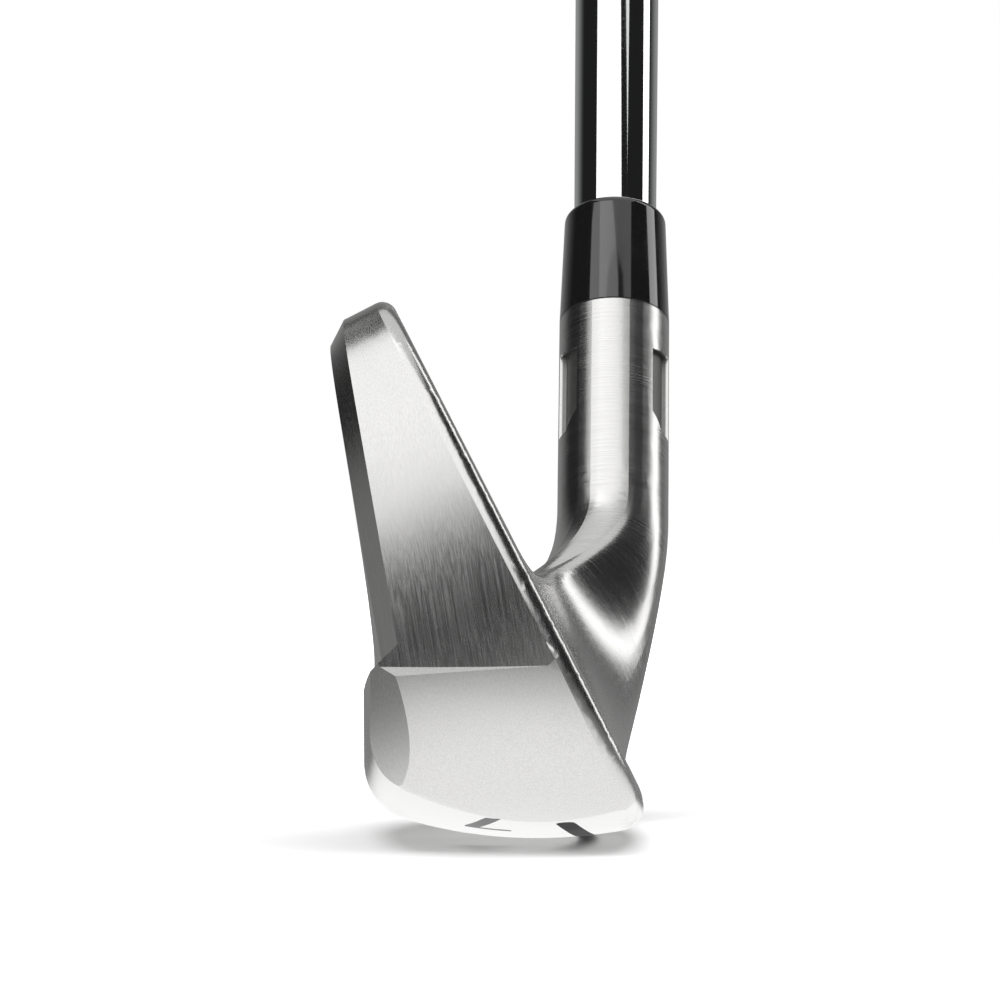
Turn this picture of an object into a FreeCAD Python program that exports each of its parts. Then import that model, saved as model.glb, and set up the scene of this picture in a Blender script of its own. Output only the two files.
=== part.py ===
import FreeCAD, Part
import Sketcher
import math
import os

# Iron golf club, seven iron, right handed, millimetres.
# Frame: the club stands at address. +X is the target direction, +Y runs from the toe to the heel,
# +Z is up, and the origin is the point of the sole that touches the ground.
# Shaft frame: its Z runs up the shaft from the point where the shaft's axis meets the ground, its X
# is the target direction, and its Y points to the heel side of the hosel.

Vector = FreeCAD.Vector

# ---------------------------------------------------------------- driving dimensions

SIZES = {
    "lie_angle": 62,
    "loft_angle": 28,
    "shaft_plane_x": 8.6,
    "shaft_foot_y": 36.75,
    "club_length": 940,
    "hosel_diameter": 12.5,
    "hosel_top": 62.5,
    "hosel_foot": 38,
    "bore_diameter": 9.6,
    "face_foot_x": 13.77,
    "topline_height": 43.6,
    "topline_slope": 0.41,
    "topline_round": 1.3,
    "toe_rim_round": 1.5,
    "toe_back_bevel": 1.8,
    "muscle_bevel": 3.2,
    "sole_rocker": 150,
    "ledge_height": 15.5,
    "ledge_slope": 0.09,
    "ledge_step": 1.1,
    "crotch_radius": 10,
    "face_plate_depth": 2.2,
    "score_line_width": 0.75,
    "score_line_depth": 0.4,
    "score_line_pitch": 3.2,
    "slot_width": 1.9,
    "number_depth": 0.5,
    "badge_depth": 0.6,
    "plug_diameter": 8,
    "pocket_depth": 0.75,
    "ferrule_length": 14,
    "ferrule_top_diameter": 11.6,
    "ferrule_round": 0.95,
    "shaft_foot": 33.9,
    "tip_diameter": 9.02,
    "taper_end": 150,
    "taper_end_diameter": 10.1,
    "first_step": 250,
    "step_pitch": 32,
    "butt_diameter": 15.24,
    "tip_inner_diameter": 7.2,
    "waist_inner_diameter": 9.0,
    "butt_inner_diameter": 14.5,
    "tip_weight_length": 24,
    "tape_depth": 0.18,
    "grip_length": 267,
    "grip_mouth_diameter": 17.6,
    "grip_waist_diameter": 20.8,
    "grip_butt_diameter": 25.6,
    "cap_depth": 4,
    "cap_diameter": 26.8,
    "cap_round": 2.5,
    "vent_diameter": 3,
}
STEP_COUNT = 13
SCORE_LINE_COUNT = 8

document = FreeCAD.newDocument("iron_golf_club")
sheet = document.addObject("Spreadsheet::Sheet", "sizes")
for row, (name, value) in enumerate(SIZES.items(), start=1):
    sheet.set("A%d" % row, name)
    sheet.set("B%d" % row, str(value))
    sheet.setAlias("B%d" % row, name)
document.recompute()


def size(name):
    """A number read back from the sheet."""
    return float(sheet.get(name))


LOFT = math.radians(size("loft_angle"))
LIE = math.radians(size("lie_angle"))
SHAFT_FRAME = FreeCAD.Placement(
    Vector(size("shaft_plane_x"), size("shaft_foot_y"), 0),
    FreeCAD.Rotation(Vector(1, 0, 0), size("lie_angle") - 90),
)
FACE_OUT = Vector(math.cos(LOFT), 0, math.sin(LOFT))

# ---------------------------------------------------------------- the head's cross-sections

# Ten edges run round each section of the blade: face, leading edge, sole, trailing edge, muscle
# back, ledge, upper back, back bevel, topline and topline round. Each edge is a cubic of four poles.

# station along the blade, how far back the muscle stands there, and the width of the topline
BLADE_STATIONS = [
    (-52, -16.1, 3.5), (-37, -16.7, 5.7), (-26, -17.2, 6.9), (-12, -17.7, 7.1), (4, -17.8, 7.0),
    (16, -16.6, 6.8), (28, -13.8, 6.5),
]
# the same at the heel, where the section's corners are softer
HEEL_MUSCLE_X = -9.5
HEEL_TOPLINE_WIDTH = 6.4
HEEL_ROUND = 2.9
HEEL_LEDGE_STEP = 0.3
# turn of the neck's section, as a share of the whole turn, how much of it is hosel by then,
# and how far its front is drawn forward
NECK_STATIONS = [(0.0, 0.24, 0.9), (0.25, 0.55, 0.9), (0.5, 0.82, 0.6), (0.75, 0.96, 0.2), (1.0, 1.0, 0.0)]
# where the ten corners of the blade's section go on the round hosel, degrees from the crotch side
HOSEL_CORNERS = [30, 105, 150, 215, 240, 258, 268, 320, 335, 375]
ROUNDING = 0.6
HOSEL_LEAD = 4
# heights above the sole at which the blade's lower corners begin
FACE_LOW = 6.4
TRAILING_TOP = 7.2
SOLE_FRONT = Vector(8.6, 0, 0.85)


def face_x(z):
    return size("face_foot_x") - math.tan(LOFT) * z


def sole_height(y):
    return y * y / (2 * size("sole_rocker"))


def topline_height(y):
    return size("topline_height") - size("topline_slope") * y


def ledge_height(y):
    return size("ledge_height") - size("ledge_slope") * y


def straight(start, end):
    return [start, start + (end - start) / 3, end + (start - end) / 3, end]


def rounded(start, corner, end):
    return [start, start + (corner - start) * ROUNDING, end + (corner - end) * ROUNDING, end]


def blade_section(y, muscle_x, width, turn, step):
    """Poles of the ten edges at a station, as (x, 0, z)."""
    ground = sole_height(y)
    top = topline_height(y)
    ledge = ledge_height(y)
    corner = Vector(face_x(top), 0, top)
    back_corner = corner - FACE_OUT * width
    ledge_in = Vector(muscle_x + step, 0, ledge)
    up_face = (corner - Vector(face_x(0), 0, 0)).normalize()
    up_back = (back_corner - ledge_in).normalize()
    face_top = corner - up_face * turn
    topline_front = corner - FACE_OUT * turn
    topline_rear = back_corner + FACE_OUT * turn
    back_top = back_corner - up_back * turn
    face_low = Vector(face_x(ground + FACE_LOW), 0, ground + FACE_LOW)
    nose = Vector(face_x(ground + 0.9), 0, ground + 1.35)
    sole_front = SOLE_FRONT + Vector(0, 0, ground)
    sole_rear = Vector(muscle_x + 4.4, 0, ground + 1.8)
    heel_corner = Vector(muscle_x + 0.6, 0, ground + 2.8)
    trailing = Vector(muscle_x + 0.2, 0, ground + TRAILING_TOP)
    ledge_out = Vector(muscle_x, 0, ledge - step)
    reach = (sole_front.x - sole_rear.x) / 3
    sole = [sole_front, sole_front + Vector(-reach, 0, -1.3), sole_rear + Vector(reach, 0, -2.1), sole_rear]
    return [
        straight(face_top, face_low),
        rounded(face_low, nose, sole_front),
        sole,
        rounded(sole_rear, heel_corner, trailing),
        straight(trailing, ledge_out),
        straight(ledge_out, ledge_in),
        straight(ledge_in, back_top),
        straight(back_top, topline_rear),
        straight(topline_rear, topline_front),
        rounded(topline_front, corner, face_top),
    ]


def hosel_arc(start_angle, end_angle, middle):
    """One arc of the hosel as a cubic; x runs forward and z is the distance from the neck's pivot."""
    radius = size("hosel_diameter") / 2
    handle = radius * 4 / 3 * math.tan(math.radians(end_angle - start_angle) / 4)
    points = []
    handles = []
    for angle in (start_angle, end_angle):
        turn = math.radians(angle)
        points.append(middle + Vector(math.sin(turn), 0, -math.cos(turn)) * radius)
        handles.append(Vector(math.cos(turn), 0, math.sin(turn)) * handle)
    return [points[0], points[0] + handles[0], points[1] - handles[1], points[1]]


def hosel_section():
    middle = Vector(size("shaft_plane_x"), 0, size("crotch_radius") + size("hosel_diameter") / 2)
    ends = HOSEL_CORNERS[1:] + [HOSEL_CORNERS[0] + 360]
    return [hosel_arc(start, end, middle) for start, end in zip(HOSEL_CORNERS, ends)]


def mixed(blade, hosel, share):
    """A section part way between the blade's and the hosel's."""
    return [
        [a * (1 - share) + b * share for a, b in zip(blade_edge, hosel_edge)]
        for blade_edge, hosel_edge in zip(blade, hosel)
    ]


def drawn_forward(section, lead):
    """The section with its front moved forward, and its back left where it is."""
    front = max(pole.x for edge in section for pole in edge)
    back = min(pole.x for edge in section for pole in edge)
    stretch = 1 + lead / (front - back)
    return [[Vector(back + (pole.x - back) * stretch, 0, pole.z) for pole in edge] for edge in section]


def section_wire(section, origin, down):
    """The section's closed wire. The section's z is laid off from the origin along down."""
    edges = []
    for poles in section:
        curve = Part.BezierCurve()
        curve.setPoles([origin + Vector(pole.x, 0, 0) + down * pole.z for pole in poles])
        edges.append(curve.toShape())
    return Part.Wire(edges)


def shaft_point(distance, side=0.0):
    """A point of the shaft's plane: distance up the axis, side towards the toe."""
    return SHAFT_FRAME.multVec(Vector(0, -side, distance))


PIVOT = shaft_point(size("hosel_foot"), size("crotch_radius") + size("hosel_diameter") / 2)
PIVOT.x = 0


def blade_wire(y, muscle_x, width):
    section = blade_section(y, muscle_x, width, size("topline_round"), size("ledge_step"))
    return section_wire(section, Vector(0, y, 0), Vector(0, 0, 1))


def blade_solid():
    return Part.makeLoft([blade_wire(*station) for station in BLADE_STATIONS], True, False)


def neck_solid():
    """The neck's sections fan out round a pivot above the crotch, from the blade to the hosel."""
    wires = [blade_wire(*BLADE_STATIONS[-1])]
    heel_section = blade_section(PIVOT.y, HEEL_MUSCLE_X, HEEL_TOPLINE_WIDTH, HEEL_ROUND, HEEL_LEDGE_STEP)
    heel = [[Vector(pole.x, 0, PIVOT.z - pole.z) for pole in edge] for edge in heel_section]
    hosel = hosel_section()
    for turn_share, hosel_share, lead in NECK_STATIONS:
        turn = LIE * turn_share
        down = Vector(0, math.sin(turn), -math.cos(turn))
        section = drawn_forward(mixed(heel, hosel, hosel_share), lead)
        wires.append(section_wire(section, PIVOT, down))
    wires.append(hosel_wire(size("hosel_foot") + HOSEL_LEAD))
    return Part.makeLoft(wires, True, False)


def hosel_wire(distance):
    along = shaft_point(distance) - shaft_point(size("hosel_foot"))
    down = Vector(0, math.sin(LIE), -math.cos(LIE))
    return section_wire(hosel_section(), PIVOT + along, down)


def hosel_solid():
    ends = [hosel_wire(size("hosel_foot") + HOSEL_LEAD), hosel_wire(size("hosel_top"))]
    return Part.makeLoft(ends, True, True)


# ---------------------------------------------------------------- the toe's outlines

# The toe's outline as seen from in front, (y, z), from the sole up to the ledge
LOWER_TOE = [
    (-22, 1.0), (-26, 1.9), (-32, 4.0), (-37.2, 8.0), (-40.4, 13.5), (-41.9, 18.5), (-42.6, 24), (-43.2, 30),
]
# and from the ledge, round the peak, to the topline
UPPER_TOE = [
    (-41.2, 12.0), (-42.0, 18.5), (-42.4, 26), (-41.8, 34), (-40.3, 42), (-37.9, 48.6),
    (-35.4, 52.2), (-32.6, 54.4), (-29.4, 55.1), (-26, 54.3), (-22, 52.8),
]
FAR = 90
TOE_TURN = 6.0
FACE_LEAD = 10
FACE_EDGE = 0.9
LEDGE_TIP = Vector(1.1, -41.95, 18.9)
TOE_RIM_Y = -29
# the muscle's rear corner at the toe, just under the ledge, and the way its bevel faces
MUSCLE_CORNER = Vector(-17.2, -42.5, 18.8)
MUSCLE_BEVEL_NORMAL = Vector(-1, -1, -0.6)


def outline_face(points, closing, to_plane):
    """A flat face between a smooth outline and the straight lines that close it."""
    curve = Part.BSplineCurve()
    places = [to_plane(y, z) for y, z in points]
    curve.interpolate(places)
    corners = [places[-1]] + [to_plane(y, z) for y, z in closing] + [places[0]]
    edges = [Part.LineSegment(a, b).toShape() for a, b in zip(corners, corners[1:])]
    return Part.Face(Part.Wire([curve.toShape()] + edges))


def toe_trim():
    """Everything heelward of the lower toe's outline, straight back from the face."""
    closing = [(-43.2, FAR), (FAR, FAR), (FAR, -FAR), (-22, -FAR)]
    face = outline_face(LOWER_TOE, closing, lambda y, z: Vector(FAR, y, z))
    return face.extrude(Vector(-2 * FAR, 0, 0))


def toe_relief():
    """What the upper toe loses: outside its outline, above the facet of the ledge."""
    closing = [(-22, FAR), (FAR, FAR), (FAR, -FAR), (-41.2, -FAR)]
    face = outline_face(UPPER_TOE, closing, lambda y, z: Vector(face_x(z), y, z) + FACE_OUT * FACE_LEAD)
    lean = math.tan(math.radians(TOE_TURN))
    face.translate(Vector(0, -(FACE_LEAD + FACE_EDGE) * lean, 0))
    kept = face.extrude((Vector(0, lean, 0) - FACE_OUT) * FAR)
    facet = Part.makeBox(2 * FAR, 2 * FAR, FAR, Vector(-FAR, -FAR, 0))
    normal = Vector(-lean, -1, 1)
    facet.Placement = FreeCAD.Placement(LEDGE_TIP, FreeCAD.Rotation(Vector(0, 0, 1), normal))
    return facet.cut(kept)


# ---------------------------------------------------------------- the hollow inside

# station along the blade, height of the hollow's floor, and of its roof
HOLLOW_STATIONS = [(-37, 15.0, 42.0), (-31, 7.2, 49.0), (-14, 4.0, 44.4), (4, 3.4, 37.0), (21, 4.8, 29.6)]
BACK_WALL = 2.4
HOLLOW_TOP_DEPTH = 4.6


def muscle_x(y):
    """How far back the muscle stands, between stations."""
    for (y0, x0, _), (y1, x1, _) in zip(BLADE_STATIONS, BLADE_STATIONS[1:]):
        if y0 <= y <= y1:
            return x0 + (x1 - x0) * (y - y0) / (y1 - y0)
    return HEEL_MUSCLE_X


def hollow_wire(y, floor, roof):
    front = size("face_plate_depth") / math.cos(LOFT)
    rear = muscle_x(y) + BACK_WALL
    shelf = max(ledge_height(y) - 2, floor + 4)
    top_rear = face_x(roof) - HOLLOW_TOP_DEPTH
    corners = [
        Vector(face_x(roof) - front, y, roof),
        Vector(face_x(floor) - front, y, floor),
        Vector(rear + 2.5, y, floor),
        Vector(rear, y, floor + 2.5),
        Vector(rear, y, shelf),
        Vector(top_rear, y, roof - 1),
    ]
    return Part.makePolygon(corners + corners[:1])


def hollow_solid():
    return Part.makeLoft([hollow_wire(*station) for station in HOLLOW_STATIONS], True, False)


# The face plate's outline, (y, z) on the face: round the toe, then closed along the heel and sole
PLATE_TOE = [
    (-28, 8.6), (-34, 11.2), (-37.6, 16.0), (-39.3, 25), (-38.6, 35), (-36.4, 44), (-33.6, 49.6),
    (-30, 51.6), (-26, 50.9),
]
PLATE_HEEL = [(25, 30.2), (25, 8.6)]
SCORE_FOOT = 10.2
SCORE_TOE_Y = -26
SCORE_HEEL_Y = 22


def face_plate_solid():
    """The plate that closes the front of the hollow, its outside in the plane of the face."""
    face = outline_face(PLATE_TOE, PLATE_HEEL, lambda y, z: Vector(face_x(z), y, z))
    return face.extrude(FACE_OUT * -size("face_plate_depth"))


def score_lines():
    """Level grooves across the face, cut square to it."""
    up_face = Vector(-math.sin(LOFT), 0, math.cos(LOFT))
    depth = size("score_line_depth")
    turn = FreeCAD.Rotation(Vector(0, 1, 0), -size("loft_angle"))
    grooves = []
    for count in range(SCORE_LINE_COUNT):
        place = Vector(face_x(0), SCORE_TOE_Y, 0) + up_face * (SCORE_FOOT + count * size("score_line_pitch"))
        groove = Part.makeBox(2 * depth, SCORE_HEEL_Y - SCORE_TOE_Y, size("score_line_width"))
        groove.Placement = FreeCAD.Placement(place - FACE_OUT * depth, turn)
        grooves.append(groove)
    return grooves


def inlay(tool, shape, shift):
    """The part of a tool inside a solid that a shift of the solid leaves uncovered."""
    moved = shape.copy()
    moved.translate(shift)
    return tool.common(shape).cut(moved)


# The slot in the sole follows the leading edge's sweep: an arc as seen from below
SLOT_FRONT_X = 5.6
SLOT_SWEEP = 152
SLOT_TOE_Y = -28
SLOT_HEEL_Y = 24
SLOT_ROOF = 6


def slot_tool():
    """A curved bar with round ends, standing up through the sole."""
    half = size("slot_width") / 2
    middle = Vector(SLOT_FRONT_X - SLOT_SWEEP, 0, -SLOT_ROOF)
    ends = [math.asin(y / SLOT_SWEEP) for y in (SLOT_TOE_Y, SLOT_HEEL_Y)]

    def at(radius, angle):
        return middle + Vector(math.cos(angle), math.sin(angle), 0) * radius

    outer, inner = SLOT_SWEEP + half, SLOT_SWEEP - half
    middle_angle = sum(ends) / 2
    edges = [
        Part.Arc(at(outer, ends[0]), at(outer, middle_angle), at(outer, ends[1])),
        Part.Arc(at(outer, ends[1]), at(SLOT_SWEEP, ends[1] + half / SLOT_SWEEP), at(inner, ends[1])),
        Part.Arc(at(inner, ends[1]), at(inner, middle_angle), at(inner, ends[0])),
        Part.Arc(at(inner, ends[0]), at(SLOT_SWEEP, ends[0] - half / SLOT_SWEEP), at(outer, ends[0])),
    ]
    outline = Part.Face(Part.Wire([edge.toShape() for edge in edges]))
    return outline.extrude(Vector(0, 0, 2 * SLOT_ROOF))


# A plain seven as seen in plan, (x, y): its bar lies to the heel side and its foot to the toe side
SEVEN = [
    (-2.4, -21.0), (-7.1, -21.0), (-7.1, -22.2), (-5.0, -30.2), (-3.5, -30.2), (-5.6, -22.2), (-2.4, -22.2),
]


def prism(points, low, high):
    """An upright prism on a plan outline."""
    corners = [Vector(x, y, low) for x, y in points]
    outline = Part.Face(Part.makePolygon(corners + corners[:1]))
    return outline.extrude(Vector(0, 0, high - low))


# The badge's outline on the back, (y, z)
BADGE = [(-13, 24.5), (11, 22.5), (8, 30.5), (-15, 37.0)]
BADGE_REACH_X = -8
PLUG_PLACE = (-2, 28)


def badge_tool():
    corners = [Vector(-FAR, y, z) for y, z in BADGE]
    outline = Part.Face(Part.makePolygon(corners + corners[:1]))
    return outline.extrude(Vector(FAR + BADGE_REACH_X, 0, 0))


# One pocket in the side of the hosel, in the shaft frame: (heelward, up the shaft)
POCKET = [(-4.55, 57.0), (-4.55, 49.0), (-3.0, 46.9), (-1.1, 46.9), (-1.1, 57.6)]


def pocket_tools():
    radius = size("hosel_diameter") / 2
    core = Part.makeCylinder(radius - size("pocket_depth"), size("hosel_top"))
    tools = []
    for side in (1, -1):
        corners = [Vector(side, y, z) for y, z in POCKET]
        outline = Part.Face(Part.makePolygon(corners + corners[:1]))
        tool = outline.extrude(Vector(side * 2 * radius, 0, 0)).cut(core)
        tool.Placement = SHAFT_FRAME
        tools.append(tool)
    return tools


# The tungsten weight fills the toe end of the hollow low down: length, width, height and corner
WEIGHT_BOX = [FAR, FAR, FAR, Vector(3 - FAR, -22 - FAR, 12.5 - FAR)]


def inside_face_plane(edge):
    points = [edge.valueAt(edge.FirstParameter), edge.valueAt(edge.LastParameter)]
    points.append(edge.valueAt((edge.FirstParameter + edge.LastParameter) / 2))
    return all(abs(point.x - face_x(point.z)) < 0.01 for point in points)


def muscle_bevel():
    """What the bevel takes off the muscle's rear corner at the toe; it fades out towards the sole."""
    corner = Vector(MUSCLE_CORNER.x + size("muscle_bevel"), MUSCLE_CORNER.y, MUSCLE_CORNER.z)
    wedge = Part.makeBox(2 * FAR, 2 * FAR, FAR, Vector(-FAR, -FAR, 0))
    wedge.Placement = FreeCAD.Placement(corner, FreeCAD.Rotation(Vector(0, 0, 1), MUSCLE_BEVEL_NORMAL))
    below_ledge = Part.makeBox(FAR, FAR, FAR, Vector(-FAR, -FAR, MUSCLE_CORNER.z - FAR))
    return wedge.common(below_ledge)


def edge_near(shape, x, y, z):
    place = Part.Vertex(x, y, z)
    return min(shape.Edges, key=lambda edge: edge.distToShape(place)[0])


def trimmed_blade():
    """The blade with its toe shaped, its rim rounded and its rear corners bevelled."""
    blade = blade_solid().common(toe_trim()).cut(toe_relief())
    rim = [
        edge for edge in blade.Edges
        if inside_face_plane(edge) and edge.BoundBox.YMax < TOE_RIM_Y and edge.Length > 1
    ]
    upper_corner = edge_near(blade, -18.5, -38.7, 36)
    rounded_rim = blade.makeFillet(size("toe_rim_round"), rim)
    bevelled = blade.makeChamfer(size("toe_back_bevel"), [upper_corner])
    return rounded_rim.common(bevelled).cut(muscle_bevel()).Solids[0]


# ---------------------------------------------------------------- objects of the document


def feature(label, shape):
    """A node whose free-form shape is set directly."""
    item = document.addObject("Part::Feature", label)
    item.Label = label
    item.Shape = shape
    return item


def turned_body(label, profile):
    """A piece turned about the shaft's axis, from (radius, height) expressions round its profile."""
    body = document.addObject("PartDesign::Body", label)
    body.Label = label
    planes = {plane.Role: plane for plane in body.Origin.OriginFeatures}
    sketch = body.newObject("Sketcher::SketchObject", label + "_profile")
    sketch.AttachmentSupport = [(planes["XZ_Plane"], "")]
    sketch.MapMode = "FlatFace"
    corners = [Vector(sheet_value(radius), sheet_value(height), 0) for radius, height in profile]
    for start, end in zip(corners, corners[1:] + corners[:1]):
        sketch.addGeometry(Part.LineSegment(start, end), False)
    count = len(profile)
    for line in range(count):
        sketch.addConstraint(Sketcher.Constraint("Coincident", line, 2, (line + 1) % count, 1))
    for line, (radius, height) in enumerate(profile):
        corner = corners[line]
        if radius == AXIS:
            sketch.addConstraint(Sketcher.Constraint("PointOnObject", line, 1, -2))
        else:
            across = sketch.addConstraint(Sketcher.Constraint("DistanceX", -1, 1, line, 1, corner.x))
            sketch.setExpression("Constraints[%d]" % across, radius)
        along = sketch.addConstraint(Sketcher.Constraint("DistanceY", -1, 1, line, 1, corner.y))
        sketch.setExpression("Constraints[%d]" % along, height)
    turned = body.newObject("PartDesign::Revolution", label + "_turned")
    turned.Profile = sketch
    turned.ReferenceAxis = (sketch, ["V_Axis"])
    turned.Angle = 360
    body.Placement = SHAFT_FRAME
    document.recompute()
    return body


def round_rim(body, radius_name, height):
    """Round the outer rim of a turned piece at a height up the shaft."""
    turned = body.Tip
    rims = []
    for number, edge in enumerate(turned.Shape.Edges, start=1):
        if len(edge.Vertexes) == 1 and abs(edge.BoundBox.ZMax - height) < 0.001:
            rims.append((edge.Length, number))
    rounding = body.newObject("PartDesign::Fillet", body.Label + "_rim")
    rounding.Base = (turned, ["Edge%d" % max(rims)[1]])
    rounding.setExpression("Radius", "sizes." + radius_name)
    document.recompute()


AXIS = "0"


def sheet_value(expression):
    """The value of an expression on the sheet's sizes."""
    return float(sheet.evalExpression(expression))


def shaft_radius(height):
    """The taper of the shaft's tip as an expression."""
    taper = "(sizes.taper_end_diameter - sizes.tip_diameter) / (sizes.taper_end - sizes.shaft_foot)"
    return "(sizes.tip_diameter + (%s - sizes.shaft_foot) * %s) / 2" % (height, taper)


def inner_radius(height):
    """The taper of the shaft's inside near its tip as an expression."""
    taper = "(sizes.waist_inner_diameter - sizes.tip_inner_diameter) / (sizes.first_step - sizes.shaft_foot)"
    return "(sizes.tip_inner_diameter + (%s - sizes.shaft_foot) * %s) / 2" % (height, taper)


def shaft_profile():
    foot = "sizes.shaft_foot"
    top = "sizes.club_length - sizes.cap_depth"
    waist = "sizes.taper_end_diameter / 2"
    growth = "(sizes.butt_diameter - sizes.taper_end_diameter) / 2 / %d" % STEP_COUNT
    profile = [
        ("sizes.tip_diameter / 2", foot),
        (waist, "sizes.taper_end"),
    ]
    for step in range(STEP_COUNT):
        height = "sizes.first_step + %d * sizes.step_pitch" % step
        profile.append(("%s + %d * %s" % (waist, step, growth), height))
        profile.append(("%s + %d * %s" % (waist, step + 1, growth), height + " + 1"))
    last_step = "sizes.first_step + %d * sizes.step_pitch" % STEP_COUNT
    profile += [
        ("sizes.butt_diameter / 2", top),
        ("sizes.butt_inner_diameter / 2", top),
        ("sizes.butt_inner_diameter / 2", last_step),
        ("sizes.waist_inner_diameter / 2", "sizes.first_step"),
        ("sizes.tip_inner_diameter / 2", foot),
    ]
    return profile


def build_head():
    outer = trimmed_blade().fuse([neck_solid(), hosel_solid()]).removeSplitter()
    hollow = hollow_solid()
    plate_blank = face_plate_solid()
    slot_insert = slot_tool().common(outer).cut(hollow)
    toe_of_sole = blade_solid().common(toe_trim())
    number = inlay(prism(SEVEN, -5, 8), toe_of_sole, Vector(0, 0, size("number_depth")))
    badge = inlay(badge_tool(), blade_solid(), Vector(size("badge_depth"), 0, 0))
    plug_y, plug_z = PLUG_PLACE
    plug_bar = Part.makeCylinder(
        size("plug_diameter") / 2, FAR + BADGE_REACH_X, Vector(-FAR, plug_y, plug_z), Vector(1, 0, 0)
    )
    plug = plug_bar.common(outer).cut([badge, hollow])
    weight = hollow.common(Part.makeBox(*WEIGHT_BOX))
    casting = outer.cut([plate_blank, hollow, slot_insert, number, badge, plug] + pocket_tools())

    feature("face_plate", plate_blank.common(outer).cut(score_lines()))
    feature("foam_core", hollow.cut(weight))
    feature("toe_weight", weight)
    feature("slot_insert", slot_insert)
    feature("sole_number_fill", number)
    feature("back_badge", badge)
    feature("foam_port_plug", plug)

    bore = document.addObject("Part::Cylinder", "hosel_bore")
    bore.setExpression("Radius", "sizes.bore_diameter / 2")
    bore.setExpression("Height", "sizes.hosel_top - sizes.shaft_foot + 1")
    bore_foot = FreeCAD.Placement(Vector(0, 0, size("shaft_foot")), FreeCAD.Rotation())
    bore.Placement = SHAFT_FRAME.multiply(bore_foot)
    body = document.addObject("Part::Cut", "head_body")
    body.Label = "head_body"
    body.Base = feature("head_casting", casting)
    body.Tool = bore
    body.Refine = False
    document.recompute()


def build_hosel_joint():
    """What joins the head to the shaft: the adhesive in the bore and the ferrule above it."""
    foot = "sizes.shaft_foot"
    rim = "sizes.hosel_top"
    turned_body("hosel_epoxy", [
        (shaft_radius(foot), foot),
        ("sizes.bore_diameter / 2", foot),
        ("sizes.bore_diameter / 2", rim),
        (shaft_radius(rim), rim),
    ])
    top = "sizes.hosel_top + sizes.ferrule_length"
    ferrule = turned_body("ferrule", [
        (shaft_radius(rim), rim),
        ("sizes.hosel_diameter / 2", rim),
        ("sizes.ferrule_top_diameter / 2", top),
        (shaft_radius(top), top),
    ])
    round_rim(ferrule, "ferrule_round", sheet_value(top))


def build_shaft():
    turned_body("shaft", shaft_profile())
    foot = "sizes.shaft_foot"
    top = "sizes.shaft_foot + sizes.tip_weight_length"
    turned_body("tip_weight", [
        (AXIS, foot),
        (inner_radius(foot), foot),
        (inner_radius(top), top),
        (AXIS, top),
    ])


def build_grip():
    top = "sizes.club_length - sizes.cap_depth"
    mouth = "sizes.club_length - sizes.grip_length"
    shaft = "sizes.butt_diameter / 2"
    tape = "sizes.butt_diameter / 2 + sizes.tape_depth"
    turned_body("grip_tape", [
        (shaft, mouth + " + 4"),
        (tape, mouth + " + 4"),
        (tape, top),
        (shaft, top),
    ])
    turned_body("grip", [
        (tape, mouth),
        ("sizes.grip_mouth_diameter / 2", mouth),
        ("sizes.grip_mouth_diameter / 2", mouth + " + 5"),
        ("sizes.grip_waist_diameter / 2", mouth + " + sizes.grip_length * 0.5"),
        ("sizes.grip_butt_diameter / 2", top + " - 22"),
        ("sizes.grip_butt_diameter / 2", top),
        (tape, top),
    ])
    cap = turned_body("grip_cap", [
        ("sizes.vent_diameter / 2", top),
        ("sizes.cap_diameter / 2", top),
        ("sizes.cap_diameter / 2", "sizes.club_length"),
        ("sizes.vent_diameter / 2", "sizes.club_length"),
    ])
    round_rim(cap, "cap_round", size("club_length"))


build_head()
build_hosel_joint()
build_shaft()
build_grip()
document.recompute()

# ---------------------------------------------------------------- checks and export

NODES = [
    "head_body", "face_plate", "foam_core", "toe_weight", "slot_insert", "sole_number_fill",
    "back_badge", "foam_port_plug", "hosel_epoxy", "ferrule", "shaft", "tip_weight", "grip_tape",
    "grip", "grip_cap",
]

for item in document.Objects:
    for word in ("Invalid", "Error"):
        if word in item.State:
            raise RuntimeError("%s is %s" % (item.Label, word))

os.makedirs("parts", exist_ok=True)
for label in NODES:
    shape = document.getObjectsByLabel(label)[0].Shape
    if shape.isNull() or not shape.isValid():
        raise RuntimeError("%s has no valid shape" % label)
    print("%-18s %9.1f mm3, %d solid(s)" % (label, shape.Volume, len(shape.Solids)))
    shape.exportStep("parts/%s.step" % label)
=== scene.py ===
import math

import bmesh
import bpy
from bpy.props import FloatProperty, FloatVectorProperty, IntProperty, PointerProperty
from bpy.types import Operator, Panel, PropertyGroup
from mathutils import Matrix, Vector


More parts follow.
